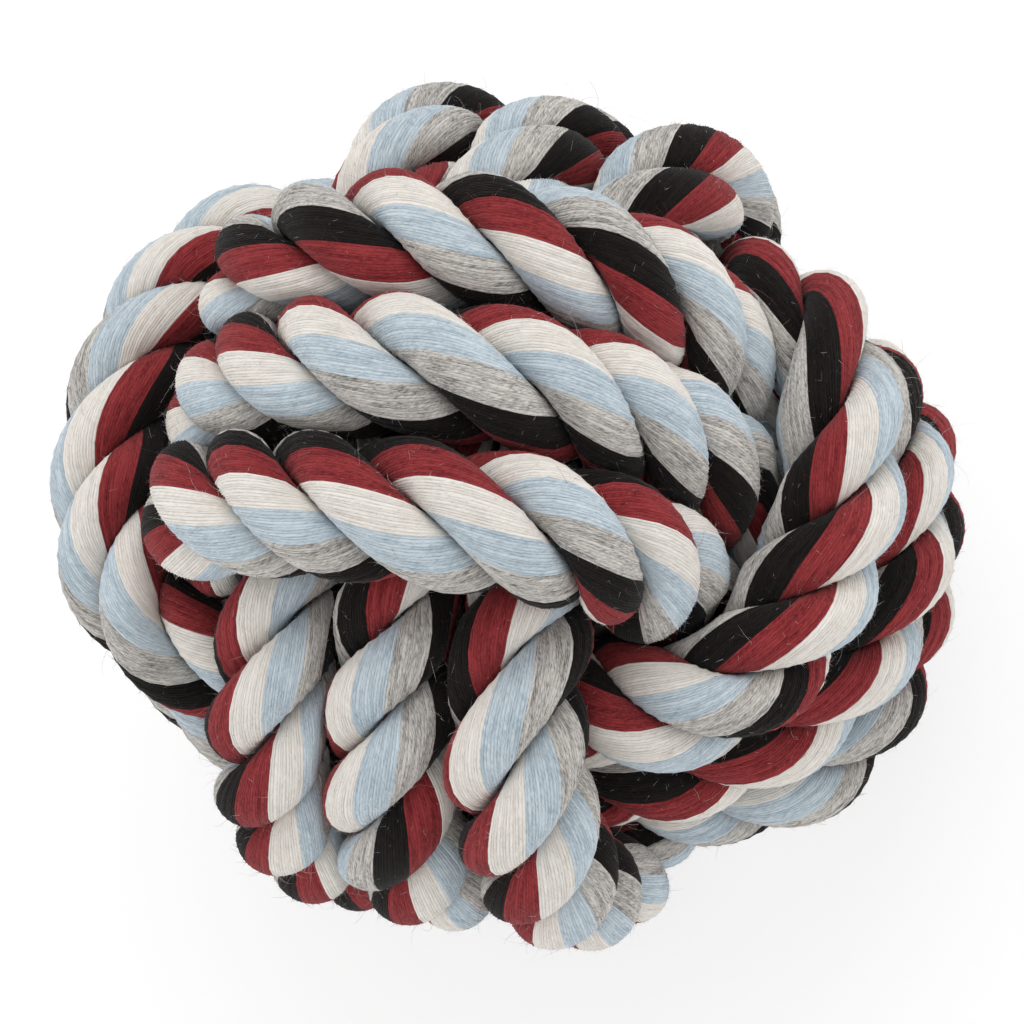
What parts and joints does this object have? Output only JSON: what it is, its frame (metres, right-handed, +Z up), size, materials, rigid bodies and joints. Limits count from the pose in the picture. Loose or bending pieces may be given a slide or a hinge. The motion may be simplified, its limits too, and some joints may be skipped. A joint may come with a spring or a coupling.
{
  "type": "rope dog toy",
  "caption": "Ball-shaped dog toy: a monkey's fist knot of thick twisted cotton rope in mixed colours, tied round a soft core, for throwing, fetching and chewing.",
  "frame": {"origin": "on the floor under the ball's middle, on the face that its weight presses flat on the third band's laps", "axes": "+Z up, through the ball's middle to the face of laps that the picture shows in front; +X to the right face and +Y to the top face of the picture"},
  "size_m": [0.1202, 0.1167, 0.1176],
  "materials": {
    "rope": "matte spun cotton in five colours: cream, light blue, heather grey, black and burgundy",
    "twine": "matte fine cotton twine",
    "core": "matte packed waste yarn"
  },
  "bodies": {
    "root": {"core": "core", "start_whipping": "twine", "start_tail": "rope", "first_band": "rope", "second_band": "rope", "third_band": "rope", "finish_tail": "rope", "finish_whipping": "twine"}
  },
  "joints": []
}
